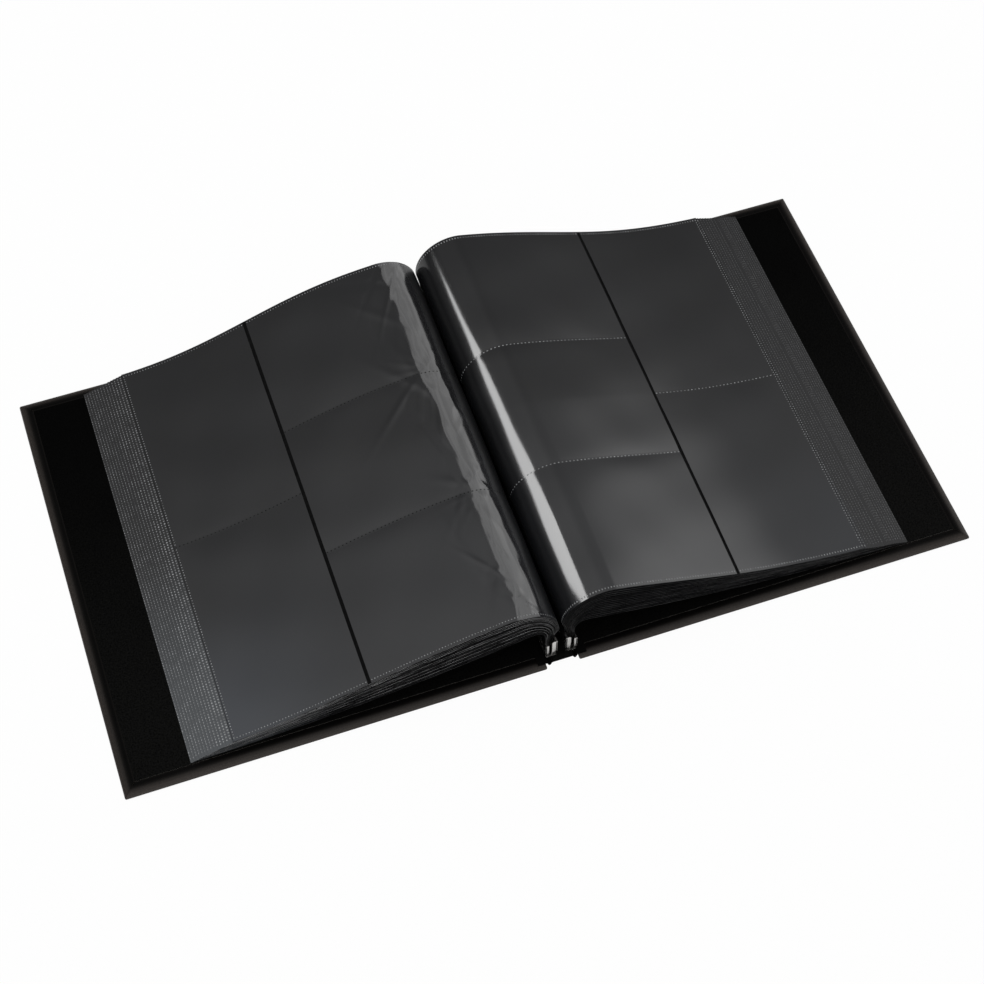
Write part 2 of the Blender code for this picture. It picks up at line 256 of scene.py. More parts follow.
class Finish:
    """One of the looks: its material's shader, and short ways to add to it."""

    def __init__(self, name, colour, coords="UV", **sockets):
        made = bpy.data.materials.new(name)
        LOOKS[name] = made
        made.use_nodes = True
        made.diffuse_color = (*colour, 1.0)
        self.tree = made.node_tree
        self.shader = self.tree.nodes["Principled BSDF"]
        self.shader.inputs["Base Color"].default_value = (*colour, 1.0)
        for socket, value in sockets.items():
            self.shader.inputs[socket.replace("_", " ")].default_value = value
        self.coords = add_node(self.tree, "TexCoord").outputs
        self.place = self.coords[coords]

    def feed(self, socket, value):
        self.tree.links.new(value, self.shader.inputs[socket])

    def group(self, group, **inputs):
        inputs["Vector"] = self.place
        return add_node(self.tree, "Group", inputs, node_tree=group).outputs[0]

    def clouds(self, scale, low=0.0, high=1.0):
        return self.group(MOTTLE, Scale=scale, Low=low, High=high)

    def mixed(self, value, dark, light):
        """A colour between two others, by a value from 0 to 1."""
        inputs = {"Factor": value}
        for socket, colour in (("A", dark), ("B", light)):
            inputs[socket] = (*colour, 1.0) if isinstance(colour, tuple) else colour
        return add_node(self.tree, "Mix", inputs, data_type="RGBA").outputs["Result"]

    def shade(self, value, dark, light):
        self.feed("Base Color", self.mixed(value, dark, light))

    def rough(self, scale, low, high):
        self.feed("Roughness", self.clouds(scale, low, high))

    def bump(self, height, distance):
        inputs = {"Distance": distance, "Strength": 1.0, "Height": height}
        self.feed("Normal", add_node(self.tree, "Bump", inputs).outputs["Normal"])


def grey(level):
    return (level, level, level)


def mottled(name, colours, scales, low=0.0, shaded=False, bump=None, **settings):
    """A plain finish, clouded from its second colour to its third: the scale of its clouds, then
    the scale and the limits of its roughness. Shaded, it darkens towards the bound edge."""
    colour, dark, light = colours
    scale, *rough = scales
    look = Finish(name, colour, **settings)
    clouds = look.clouds(scale, low)
    look.shade(look.group(ROOT_SHADE, Value=clouds) if shaded else clouds, dark, light)
    look.rough(*rough)
    if bump:
        look.bump(clouds, bump)


def pocket_film():
    """Clear film over black, with soft clouds, painted light that grows towards the tail, and fine
    ribs that run along the spine. The left half has a painted bluish sheen at its outer tail
    corner, and is dull where it goes down into the gutter."""
    look = Finish("pocket_film", (0.006, 0.006, 0.0068), IOR=1.5)
    place = parts_of(look.place)
    side = ramp(parts_of(look.coords["Object"])["X"], -1 * MM, 1 * MM, 1.0, 0.25)
    # Painted light: the film is painted lighter towards the tail, on top of its random clouds
    tail = ramp(place["Y"], 20 * MM, LEAF_TAIL, 0.0, 0.5)
    clouds_and_tail_light = combine("ADD", look.clouds(9.0, 0.0, 0.5), tail)
    base = look.mixed(clouds_and_tail_light, (0.0050, 0.0050, 0.0055), (0.0105, 0.0111, 0.0130))
    # A painted bluish sheen at the outer tail corner, mostly on the left half
    outer = ramp(place["X"], 90 * MM, 240 * MM)
    corner = combine("MULTIPLY", outer, ramp(place["Y"], -40 * MM, LEAF_TAIL))
    look.shade(combine("MULTIPLY", corner, side), base, (0.036, 0.041, 0.050))
    dull = combine("MULTIPLY", ramp(place["X"], -36 * MM, -19 * MM, 0.32, 0.0), side)
    look.feed("Roughness", combine("ADD", look.clouds(14.0, 0.09, 0.15), dull))
    ribs = {"Vector": look.place, "Scale": 160.0, "Distortion": 1.5}
    look.bump(add_node(look.tree, "TexWave", ribs, bands_direction="X").outputs["Fac"], 0.002 * MM)


def inner_page():
    """The black of the leaves below, with a painted bluish sheen at the outer tail corner of the
    left half.
    """
    look = Finish("inner_page", (0.008, 0.008, 0.009), IOR=1.5)
    base = look.mixed(look.clouds(60.0), (0.005, 0.005, 0.0056), (0.010, 0.010, 0.0112))
    spot = parts_of(look.coords["Object"])
    # A painted bluish sheen at the outer tail corner of the left half
    outer = ramp(spot["X"], -150 * MM, -240 * MM)
    tail = ramp(spot["Y"], 30 * MM, LEAF_TAIL)
    look.shade(combine("MULTIPLY", outer, tail), base, (0.060, 0.066, 0.072))
    look.rough(40.0, 0.2, 0.32)


def lit_weld(name, least):
    """Welds with a painted glint that grows towards the left half's tail, from a least share
    elsewhere.
    """
    look = Finish(name, (0.11, 0.11, 0.112))
    # Painted glint: the welds are painted lighter towards the left half's tail
    painted_glint = ramp(dot(look.place, (-1.0, -1.3, 0.0)), 0.1, 0.45, least, 1.0)
    bright = combine("MULTIPLY", look.clouds(140.0), painted_glint)
    look.shade(bright, (0.045, 0.045, 0.046), (0.40, 0.41, 0.42))
    look.rough(200.0, 0.3, 0.5)


def lining_paper():
    """Black paper with a fine cloth emboss, blackest towards the head, its specks painted lighter
    towards the tail as painted light.
    """
    look = Finish("lining_paper", (0.0011, 0.0011, 0.001), coords="Object", Specular_IOR_Level=0.02)
    height = parts_of(look.place)["Y"]
    # Painted light: the specks grow lighter towards the tail
    shade = ramp(height, COVER_HALF, -COVER_HALF, 0.2, 1.4)
    specks = combine("MULTIPLY", look.clouds(900.0), shade)
    look.shade(specks, grey(0.0001), (0.0056, 0.0056, 0.0053))
    look.rough(25.0, 0.5, 0.7)
    look.bump(look.group(PEBBLE, Scale=1000.0), 0.08 * MM)


# How much painted sheen the leatherette shows, in its colour and in its coat, by how far it faces
# up
FACING = (-0.97, -0.9, -0.3, 0.2, 0.5, 0.75, 0.93, 0.98, 0.9975)
SHEEN_BY_FACING = (1.0, 0.1, 0.8, 1.0, 0.95, 0.82, 0.66, 0.36, 0.0)


def leatherette():
    """Grained black leatherette, with a painted brownish sheen on edges and outer faces, and
    painted dull black where it is turned in over the board and faces up."""
    look = Finish("leatherette", (0.010, 0.0085, 0.0075), coords="Object", Specular_IOR_Level=0.04)
    look.shader.inputs["Coat Roughness"].default_value = 0.32
    pebbles = look.group(PEBBLE, Scale=1500.0)
    grain = look.mixed(pebbles, (0.018, 0.0143, 0.0120), (0.054, 0.0432, 0.0362))
    # Painted light: colour and coat follow how far the leatherette faces up
    tilt = ramp(parts_of(look.coords["Normal"])["Z"], -1.0, 1.0, kind="LINEAR")
    painted_sheen = add_node(look.tree, "ValToRGB", {"Fac": tilt})
    stops = painted_sheen.color_ramp.elements
    stops[0].color = (1.0, 1.0, 1.0, 1.0)
    stops[1].color = (0.0, 0.0, 0.0, 1.0)
    for tilted, sheen_share in zip(FACING, SHEEN_BY_FACING):
        stops.new((tilted + 1) / 2).color = (sheen_share, sheen_share, sheen_share, 1.0)
    painted_sheen = painted_sheen.outputs["Color"]
    look.shade(painted_sheen, (0.0012, 0.0011, 0.001), grain)
    look.feed("Coat Weight", combine("MULTIPLY", painted_sheen, 0.6))
    look.rough(70.0, 0.42, 0.6)
    look.bump(pebbles, 0.05 * MM)


def joint_cloth():
    """Black cloth with a plain weave."""
    look = Finish("joint_cloth", grey(0.002), Specular_IOR_Level=0.05)
    inputs = {"Vector": look.place, "Scale": 700.0, "Distortion": 0.4}
    warp, weft = (
        add_node(look.tree, "TexWave", inputs, bands_direction=way).outputs["Fac"] for way in "XY"
    )
    weave = combine("MAXIMUM", warp, weft)
    look.shade(weave, grey(0.0008), grey(0.0032))
    look.rough(80.0, 0.75, 0.95)
    look.bump(weave, 0.06 * MM)


pocket_film()
inner_page()
lining_paper()
leatherette()
joint_cloth()
lit_weld("weld_dot", 0.75)
lit_weld("weld_dash", 0.16)
mottled(
    "bare_page",
    (grey(0.0012), grey(0.0024), grey(0.0058)),
    (300.0, 60.0, 0.5, 0.7),
    Specular_IOR_Level=0.03,
)
mottled(
    "fore_edge",
    ((0.022, 0.022, 0.023), (0.010, 0.010, 0.0104), (0.058, 0.058, 0.060)),
    (240.0, 90.0, 0.35, 0.55),
)
# The cut ends of the leaves at the head and tail, black all through, with painted glints in streaks
# that fade in painted shade towards the bound edge
mottled(
    "cut_edge",
    (grey(0.010), grey(0.0015), (0.12, 0.12, 0.122)),
    (30.0, 90.0, 0.45, 0.65),
    low=-0.4,
    shaded=True,
    Specular_IOR_Level=0.15,
)
# The cut end of a leaf whose film stands open, with a painted glint along its edge that fades in
# painted shade towards the bound edge
mottled(
    "film_glint",
    ((0.16, 0.16, 0.165), (0.010, 0.010, 0.0102), (0.72, 0.72, 0.73)),
    (45.0, 90.0, 0.25, 0.4),
    low=-0.3,
    shaded=True,
)
# A weld that lies dull and dark in its film
mottled(
    "weld_dimple",
    ((0.004, 0.004, 0.0042), grey(0.001), (0.012, 0.012, 0.0125)),
    (140.0, 200.0, 0.4, 0.6),
    Specular_IOR_Level=0.15,
)
mottled(
    "paper_edge",
    ((0.20, 0.19, 0.175), (0.08, 0.077, 0.07), (0.26, 0.25, 0.23)),
    (500.0, 150.0, 0.7, 0.9),
    coords="Object",
)
mottled(
    "greyboard",
    ((0.30, 0.28, 0.25), (0.22, 0.205, 0.18), (0.36, 0.34, 0.305)),
    (420.0, 150.0, 0.82, 0.96),
    bump=0.05 * MM,
    coords="Object",
)
mottled(
    "bright_steel",
    ((0.72, 0.71, 0.69), (0.60, 0.59, 0.57), (0.78, 0.77, 0.75)),
    (160.0, 120.0, 0.14, 0.30),
    coords="Object",
    Metallic=1.0,
)


# ---------------------------------------------------------------- shapes


def between(a, b, share):
    return a + (b - a) * share


def eased(share):
    return share * share * (3 - 2 * share)


def unit(vectors):
    return vectors / np.linalg.norm(vectors, axis=-1, keepdims=True)


def lengths(points):
    return np.linalg.norm(np.diff(points, axis=0), axis=1)


def beside(ahead):
    """Unit vectors to the left of these directions in X and Z."""
    ahead = unit(ahead)
    return np.column_stack([-ahead[:, 1], ahead[:, 0]])


def arc(x, z, radius, start, end, points):
    turn = np.linspace(start, end, points)
    return np.column_stack([x + radius * np.cos(turn), z + radius * np.sin(turn)])


def joined(*runs):
    """Runs of rising values as one, without repeats."""
    return np.unique(np.round(np.concatenate(runs), 9))


class LeafLine:
    """The middle line of a leaf, from its bound edge to its fore-edge.

    Places on it are told by their distance from the end of the bend, below nothing on the bound
    side. Its normals point up and out of the pack.
    """

    def __init__(self, side, number):
        self.side = side
        self.name = f"{side}_leaf_{number + 1:02d}"
        self.number = number
        self.sign = SIGN[side]
        depth = number / (LEAVES - 1)
        root_x = BLOCK_INNER + LEAF_HALF + number * ROOT_PITCH
        start_x = between(GUTTER_HALF, LAST_ROOT, depth)
        start_z = RAIL_TOP + between(TOP_RISER[side], BOTTOM_RISER, depth)
        bend = between(TOP_BEND[side], BOTTOM_BEND, depth)
        fall = between(TOP_FALL[side], BOTTOM_FALL, depth)
        edge_fall = between(EDGE_FALL[side], BOTTOM_EDGE_FALL, depth)

        rise = np.linspace(BLOCK_TOP, RAIL_TOP, 12, endpoint=False)
        share = np.linspace(0, 1, 20, endpoint=False)
        root = np.concatenate(
            [
                np.column_stack([np.full_like(rise, root_x), rise]),
                np.column_stack(
                    [between(root_x, start_x, eased(share)), between(RAIL_TOP, start_z, share)]
                ),
                arc(start_x + bend, start_z, bend, pi, pi / 2 - fall, 60),
            ]
        )
        start = root[-1]
        left_over = LEAF_LENGTH + REACH[side][number] * MM - lengths(root).sum()
        end_z = FORE_EDGE_LOW + (LEAVES - 1 - number) * FORE_EDGE_STEP
        if number == 0:
            end_z += FILM_STACK
        share = np.linspace(0, 1, 160)[:, None]

        def curve(end_x):
            end = np.array([end_x, end_z])
            lead = np.linalg.norm(end - start) / 3
            knee = start + lead * np.array([cos(fall), -sin(fall)])
            heel = end + lead * np.array([-cos(edge_fall), sin(edge_fall)])
            keep = 1 - share
            return (
                keep**3 * start
                + 3 * share * keep**2 * knee
                + 3 * share**2 * keep * heel
                + share**3 * end
            )

        near, far = start[0], start[0] + left_over
        for _ in range(40):
            middle = (near + far) / 2
            short = lengths(curve(middle)).sum() < left_over
            near, far = (middle, far) if short else (near, middle)
        free = curve(far)

        self.points = np.concatenate([root, free[1:]])
        run = np.concatenate([[0], np.cumsum(lengths(self.points))])
        self.along = run - run[len(root) - 1]
        self.root = self.along[0]
        self.end = self.along[-1]
        self.bend_start = (start_x, start_z)
        self.normals = beside(np.gradient(self.points, self.along, axis=0))
        self.depth = depth

    def lie(self, along, across):
        """How far a sheet lies above its line: low halfway and at the tail, high at the head."""
        middle = (LEAF_TAIL + LEAF_HEAD) / 2
        share = (across - middle) / (LEAF_HEAD - middle)
        turn = np.where(share > 0, HEAD_LIFT[self.side] * share, TAIL_DROP[self.side] * share)
        out = np.clip(along / self.end, 0, 1)
        rise = eased(np.clip((along - self.root) / (0 - self.root), 0, 1))
        sag = SAG[self.side] * np.sin(pi * out) ** 2
        full = FULLNESS[self.side] * np.sin(2 * pi * out) * (share + 1) / 2
        return (1 - self.depth) * (turn * rise * (1 - 0.7 * out) - sag + full)

    def lean(self, along, across):
        """How far the crest leans out of the gutter at the tail, or into it at the head."""
        share = (LEAF_HEAD - across) / (LEAF_HEAD - LEAF_TAIL)
        rise = eased(np.clip((along - self.root) / (-0.6 * self.root), 0, 1))
        settle = 1 - eased(np.clip(along / (150 * MM), 0, 1))
        lean = between(-HEAD_CLOSE, LEAN[self.side], share)
        return lean * (1 - 0.75 * self.depth) * rise * settle

    def at(self, along):
        """X and Z, and the normal's X and Z, at these distances."""
        values = [np.interp(along, self.along, v) for v in (*self.points.T, *self.normals.T)]
        size = np.hypot(values[2], values[3])
        return values[0], values[1], values[2] / size, values[3] / size

    def spot(self, along):
        """The point in space at a distance along the line."""
        x, z, _, _ = self.at(np.array([along]))
        return Vector((self.sign * x[0], 0.0, z[0]))

    def off(self, along, across, lift):
        """X and Z of the places a lift off the leaf as it lies."""
        x, z, nx, nz = self.at(along)
        x = self.sign * (x + nx * lift + self.lean(along, across))
        return x, z + nz * lift + self.lie(along, across)

    def surface(self, rows, cols, lift):
        x, z = self.off(rows[:, None], cols[None, :], lift)
        return grid(x, cols, z, self.sign)


def grid(x, cols, z, sign):
    """Points and normals of a sheet whose columns run from the tail to the head."""
    points = np.stack(np.broadcast_arrays(x, cols, z), axis=-1)
    return points, unit(sign * np.cross(np.gradient(points, axis=0), np.gradient(points, axis=1)))


def show(name, verts, faces, looks):
    mesh = bpy.data.meshes.new(name)
    mesh.from_pydata([tuple(v) for v in verts], [], [tuple(f) for f in faces])
    for look in looks:
        mesh.materials.append(LOOKS[look])
    mesh.shade_smooth()
    piece = bpy.data.objects.new(name, mesh)
    bpy.context.scene.collection.objects.link(piece)
    return piece


def sheet(name, upper, lower, rows, cols, looks, sign):
    """A closed thin sheet between two grids of points; its last row's rim takes the second look and
    the rest of its rim the last one."""
    (top, top_up), (bottom, bottom_up) = upper, lower
    count, across = top.shape[:2]
    number = np.arange(count * across).reshape(count, across)
    quads = np.stack([number[:-1, :-1], number[1:, :-1], number[1:, 1:], number[:-1, 1:]], axis=-1)
    quads = quads.reshape(-1, 4)
    size = count * across
    rim = np.concatenate([number[:-1, 0], number[-1, :-1], number[:0:-1, -1], number[0, :0:-1]])
    following = np.roll(rim, -1)
    walls = np.stack([rim + size, following + size, following, rim], axis=-1)
    faces = [quads, quads[:, ::-1] + size, walls]
    if sign < 0:
        faces = [part[:, ::-1] for part in faces]
    verts = np.concatenate([top.reshape(-1, 3), bottom.reshape(-1, 3)])
    piece = show(name, verts, np.concatenate(faces), looks)
    mesh = piece.data

    flats = 2 * len(quads)
    kinds = np.zeros(len(mesh.polygons), dtype=np.int32)
    kinds[flats:] = len(looks) - 1
    kinds[flats + count - 1 : flats + count + across - 2] = min(1, len(looks) - 1)
    mesh.polygons.foreach_set("material_index", kinds)
    flat = np.empty(3 * len(mesh.polygons), dtype=np.float32)
    mesh.polygons.foreach_get("normal", flat)
    flat = flat.reshape(-1, 3)[flats:]
    up = np.concatenate([top_up.reshape(-1, 3), -bottom_up.reshape(-1, 3)])
    normals = [up[faces[0]].reshape(-1, 3), up[faces[1]].reshape(-1, 3), np.repeat(flat, 4, axis=0)]
    mesh.normals_split_custom_set(np.concatenate(normals).tolist())

    spread = np.stack(np.broadcast_arrays(rows[:, None], cols[None, :]), axis=-1).reshape(-1, 2)
    layer = mesh.uv_layers.new(name="leaf")
    corners = np.concatenate(faces).reshape(-1) % size
    layer.data.foreach_set("uv", spread[corners].astype(np.float32).reshape(-1))
    return piece


def dots(name, places, ups, long, wide, height, look):
    """Small closed domes on a surface, as long and as wide as told along and across the leaf."""
    sides = 6
    turn = np.arange(sides) * 2 * pi / sides
    ahead = unit(np.cross(np.array([0.0, 1.0, 0.0]), ups))
    aside = np.cross(ups, ahead) * wide[:, None]
    ahead = ahead * long[:, None]
    places, ups, ahead, aside = (part[:, None, :] for part in (places, ups, ahead, aside))
    circle = np.cos(turn)[None, :, None] * ahead + np.sin(turn)[None, :, None] * aside
    base, shoulder = (
        places + circle * share + ups * height * high for share, high in ((1.0, -0.3), (0.72, 0.7))
    )
    crown = places + ups * height
    verts = np.concatenate([base, shoulder, crown], axis=1)
    each = 2 * sides + 1
    wall = [(i, (i + 1) % sides, sides + (i + 1) % sides, sides + i) for i in range(sides)]
    top = [(sides + i, sides + (i + 1) % sides, 2 * sides) for i in range(sides)]
    pattern = wall + top + [tuple(reversed(range(sides)))]
    faces = [tuple(k + i * each for k in face) for i in range(len(places)) for face in pattern]
    verts = verts.reshape(-1, 3)
    piece = show(name, verts, faces, [look])
    layer = piece.data.uv_layers.new(name="leaf")
    corners = np.empty(len(piece.data.loops), dtype=np.int32)
    piece.data.loops.foreach_get("vertex_index", corners)
    layer.data.foreach_set("uv", verts[corners][:, :2].astype(np.float32).reshape(-1))
    return piece


# ---------------------------------------------------------------- leaves


LINES = {(side, number): LeafLine(side, number) for side in SIGN for number in range(LEAVES)}

INNER_SEAMS = [between(LEAF_TAIL, LEAF_HEAD, share) for share in (0, 1 / 3, 2 / 3, 1)]
OUTER_SEAMS = [between(LEAF_TAIL, LEAF_HEAD, share) for share in (0, 1 / 2, 1)]


def columns(line):
    """Where the inner and the outer column of pockets begin and end along a leaf."""
    strip_end = line.end - FILM_RIM - OUTER_POCKET + DIVIDER_OUT[line.side]
    return {
        "inner": (line.root + 10 * MM, strip_end - DIVIDER),
        "outer": (strip_end, line.end - FILM_RIM),
    }


def pocket_swell(across, seams):
    """How full a pocket is, from 0 at its seams to 1 in the middle."""
    swell = np.zeros_like(across)
    for low, high in zip(seams, seams[1:]):
        share = np.abs(2 * across - low - high) / (high - low)
        swell = np.where(share < 1, 1 - share**5, swell)
    return swell


def creases():
    """Places, directions and sizes of the creases in the left film where it bends to the gutter."""
    chance = np.random.default_rng(11)
    found = []
    for seam in INNER_SEAMS[1:3]:
        for angle in np.linspace(0.2, pi + 0.2, 9, endpoint=False):
            reach = chance.uniform(10, 24) * MM
            rise = chance.uniform(0.14, 0.32) * MM
            found.append((-16 * MM, seam, angle, reach, 2.0 * MM, rise))
    for _ in range(90):
        place, height = chance.normal(-14, 12) * MM, chance.uniform(LEAF_TAIL, LEAF_HEAD)
        angle = pi / 2 + chance.normal(0, 0.45)
        sizes = [chance.uniform(*ends) * MM for ends in ((8, 42), (1.6, 4.5), (-0.30, 0.34))]
        found.append((place, height, angle, *sizes))
    return found


CREASES = creases()


def left_relief(along, across):
    """The creases of the left film."""
    relief = np.zeros(np.broadcast_shapes(along.shape, across.shape))
    for place, height, angle, reach, width, rise in CREASES:
        run = (along - place) * cos(angle) + (across - height) * sin(angle)
        off = (across - height) * cos(angle) - (along - place) * sin(angle)
        relief += rise * np.exp(-((run / reach) ** 2) - (off / width) ** 2)
    return relief


def right_relief(along, across):
    """The ripples of the right film, over its crest."""
    near = np.exp(-(((along + 15 * MM) / (40 * MM)) ** 2))
    wave = np.sin(across / (9.1 * MM) + along / (23 * MM))
    wave = wave + 0.7 * np.sin(across / (15.7 * MM) - along / (31 * MM) + 1.3)
    return RIPPLE * near * wave


def buckle(along, across):
    """The soft buckles of a film that lies slack in its pocket."""
    wave = np.sin(across / (14 * MM) + along / (33 * MM) + 0.6)
    wave = wave * np.sin(along / (16 * MM) - across / (47 * MM))
    return BUCKLE * (1 + wave)


def film_lift(line, column, along, across, lively):
    """How far the middle of a pocket film stands off the middle of its leaf."""
    seams = INNER_SEAMS if column == "inner" else OUTER_SEAMS
    near, far = columns(line)[column]
    swell = pocket_swell(across, seams)
    shut = far if column == "outer" else near
    swell = swell * np.clip(np.abs(along - shut) / (12 * MM), 0, 1) ** 0.5
    lift = FILM_REST + POCKET_SWELL * swell
    if lively:
        fade = np.clip(np.minimum(along - line.root, line.end - along) / (20 * MM), 0, 1)
        relief = (left_relief if line.side == "left" else right_relief)(along, across)
        lift = lift + fade * np.clip(relief, RELIEF_LOW, RELIEF_HIGH)
        lift = lift + fade * swell * buckle(along, across)
    return lift


def steps(start, end, step):
    return np.linspace(start, end, max(2, int(round((end - start) / step)) + 1))


EDGE_RUN = steps(LEAF_TAIL + 3 * MM, LEAF_HEAD - 3 * MM, DOT_PITCH)


def film_rows(line, column):
    near, far = columns(line)[column]
    if column == "outer":
        return steps(near, far, FILM_COARSE)
    calm = 30 * MM
    folds = [0.0, FOLD, 2 * FOLD]
    return joined(steps(near, calm, FILM_FINE), steps(calm, far, FILM_COARSE), folds)


def hold(piece, line, stretch):
    """Bakes a piece's place into its mesh; the points of its leaf that it looks up for its stretch
    are not used.
    """
    if stretch == "whole":
        line.spot(0.0)
        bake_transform(piece)
    elif stretch == "root":
        line.spot(0.0)
        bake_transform(piece)
    elif stretch == "fold":
        line.spot(0.0)
        line.spot(FOLD)
        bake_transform(piece)
    else:
        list(turn_reach(line, stretch))
        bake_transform(piece)
    return piece


def turn_reach(line, stretch):
    """Between which points the turned leaf takes up its last fold; its page has taken it up but for
    a little, evenly along the leaf."""
    rows, cols = np.array([FOLD, 2 * FOLD]), np.array([LEAF_TAIL, 0.0, LEAF_HEAD])
    spots, _ = line.surface(rows, cols, 0.0)
    start, tail, head = spots[0, 1], spots[1, 0], spots[1, 2]
    if stretch == "bend":
        ahead = (spots[1, 1] - start) * (1, 0, 1)
        ways = np.array([ahead, (0.0, 1.0, 0.0)])
        ends = np.array([tail - start, head - start])
        way = np.linalg.solve(ends @ ways.T, (TURN_TAIL, TURN_HEAD)) @ ways
        return start, start + way / (way @ way)
    slope = (TURN_HEAD - TURN_TAIL) / (LEAF_HEAD - LEAF_TAIL)
    begin = LEAF_TAIL - TURN_TAIL / slope
    return (0.0, begin, 0.0), (0.0, begin + 1 / slope, 0.0)


def stretches(line):
    """The stretches of a leaf that are built as pieces of their own, with their ends."""
    if line.side == "right" and line.number == 0:
        return {
            "root": (line.root - 1, 0.0),
            "fold": (0.0, FOLD),
            "bend": (FOLD, 2 * FOLD),
            "page": (2 * FOLD, line.end + 1),
        }
    return {"whole": (line.root - 1, line.end + 1)}


def titled(name, stretch):
    return name if stretch == "whole" else f"{name}_{stretch}"


def laid(name, line, rows, cols, low, high, looks, drift=0.0):
    """A sheet along a leaf, in a piece for each of its stretches; a drift moves its markings."""
    faces = [line.surface(rows, cols, lift) for lift in (high, low)]
    pieces = {}
    for stretch, (start, end) in stretches(line).items():
        kept = np.flatnonzero((rows >= start - 1e-7) & (rows <= end + 1e-7))
        if len(kept) < 2:
            continue
        part = slice(kept[0], kept[-1] + 1)
        cut = ([values[part] for values in face] for face in faces)
        title = titled(name, stretch)
        piece = sheet(title, *cut, rows[part], cols + drift, looks, line.sign)
        pieces[stretch] = hold(piece, line, stretch)
    return pieces


def laid_dots(name, line, along, across, lift, long, wide, height, look):
    """Weld dots on a leaf, in a piece for each stretch; a negative lift is its underside."""
    x, z = line.off(along, across, lift)
    places = np.column_stack([x, across, z])
    _, _, nx, nz = line.at(along)
    side = np.sign(lift)
    ups = np.column_stack([line.sign * nx * side, np.zeros_like(x), nz * side])
    for stretch, (start, end) in stretches(line).items():
        kept = (along >= start) & (along < end)
        if kept.any():
            title = titled(name, stretch)
            piece = dots(title, places[kept], ups[kept], long[kept], wide[kept], height, look)
            hold(piece, line, stretch)


def core(line):
    """The core sheet of a leaf, down into the bound edge."""
    rows = joined(steps(line.root, 0.0, 2.2 * MM), steps(0.0, line.end, 6 * MM), [FOLD, 2 * FOLD])
    cols = steps(LEAF_TAIL, LEAF_HEAD, 40 * MM)
    look = "inner_page" if line.number else "bare_page"
    end_look = "film_glint" if line.number in GLINTS[line.side] else "cut_edge"
    looks = [look, "fore_edge", end_look]
    name, drift = f"{line.name}_core", line.number * MARK_DRIFT
    pieces = laid(name, line, rows, cols, -LEAF_HALF, LEAF_HALF, looks, drift)
    for stretch, piece in pieces.items():
        if stretch == "fold":
            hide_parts("right_leaf_01_fold")
        elif stretch in ("whole", "page"):
            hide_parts(line.name)


def films(line, face, lively):
    """The two pocket films on one face of a leaf."""
    sign = 1 if face == "upper" else -1
    step = 1.6 * MM if lively else 6 * MM
    cols = steps(LEAF_TAIL + FILM_RIM / 2, LEAF_HEAD - FILM_RIM / 2, step)
    looks = ["pocket_film", "fore_edge", "cut_edge"]
    for column in ("inner", "outer"):
        rows = film_rows(line, column)
        lift = sign * film_lift(line, column, rows[:, None], cols[None, :], lively)
        low, high = lift - FILM_HALF, lift + FILM_HALF
        name = f"{line.name}_{face}_{column}_pocket"
        pieces = laid(name, line, rows, cols, low, high, looks)
        node = f"{line.side}_{face}_{column}_film"
        if line.number == 0 and node in frame["nodes"]:
            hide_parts(node)


def welds(line, face, lively):
    """Dotted welds: between the pockets, and round the edges of the leaf."""
    sign = 1 if face == "upper" else -1
    runs = {"seams": [], "edges": []}

    def add(kind, column, along, across, long, wide):
        lift = sign * (film_lift(line, column, along, across, lively) + FILM_HALF)
        sizes = (np.full_like(along, size) for size in (long, wide))
        runs[kind].append((along, across, lift, *sizes))

    for column, seams in (("inner", INNER_SEAMS), ("outer", OUTER_SEAMS)):
        near, far = (end + inset * MM for end, inset in zip(columns(line)[column], (1, -1)))
        for seam in seams:
            inward = DOT_INSET if seam == LEAF_TAIL else -DOT_INSET if seam == LEAF_HEAD else 0.0
            run = steps(near, far, DOT_PITCH if inward else SEAM_PITCH)
            height = np.full_like(run, seam + inward)
            if inward:
                add("edges", column, run, height, DOT_NARROW, DOT_LONG * EDGE_TICK[line.side])
            else:
                add("seams", column, run, height, SEAM_LONG, SEAM_NARROW)
    fore = np.full_like(EDGE_RUN, line.end - 1.4 * MM)
    add("edges", "outer", fore, EDGE_RUN, DOT_LONG, DOT_NARROW)
    for kind, found in runs.items():
        look = "weld_dimple" if kind == "seams" and line.side == "left" else "weld_dot"
        found = (np.concatenate(part) for part in zip(*found))
        laid_dots(f"{line.name}_{face}_{kind}", line, *found, DOT_HEIGHT, look)


def edge_welds(line):
    """The dotted weld along the fore-edge of a leaf that lies under others."""
    chance = np.random.default_rng(40 + line.number)
    deep = min(1, 1.8 * line.depth)
    bare = REACH[line.side][line.number] - REACH[line.side][line.number - 1]
    rows = []
    for row in range(1 + max(0, int(bare / 0.9))):
        shift = chance.uniform(0, 0.5 * DOT_PITCH)
        rise = EDGE_RUN + shift + chance.normal(0, 0.12 * MM, len(EDGE_RUN))
        inset = (between(1.1, 0.5, deep) + 0.85 * row) * MM
        fixed = (np.full_like(rise, value) for value in (line.end - inset, 0.75 if row else 1.0))
        rows.append((rise, *fixed))
    rise, along, shrink = (np.concatenate(part) for part in zip(*rows))
    long = between(EDGE_DOT_LONG[line.side], 0.22, deep) * MM * shrink
    wide = between(EDGE_DOT_WIDE[line.side], 0.95, deep) * MM * shrink
    tailward = between(1.3, 0.95, (rise - LEAF_TAIL) / (LEAF_HEAD - LEAF_TAIL))
    long = long * chance.uniform(0.8, 1.2, len(rise)) * tailward
    wide = wide * chance.uniform(0.8, 1.1, len(rise))
    name, lift = f"{line.name}_edge_welds", np.full_like(rise, LEAF_HALF)
    look = "weld_dot" if line.side == "left" else "weld_dash"
    laid_dots(name, line, along, rise, lift, long, wide, EDGE_DOT_HEIGHT, look)


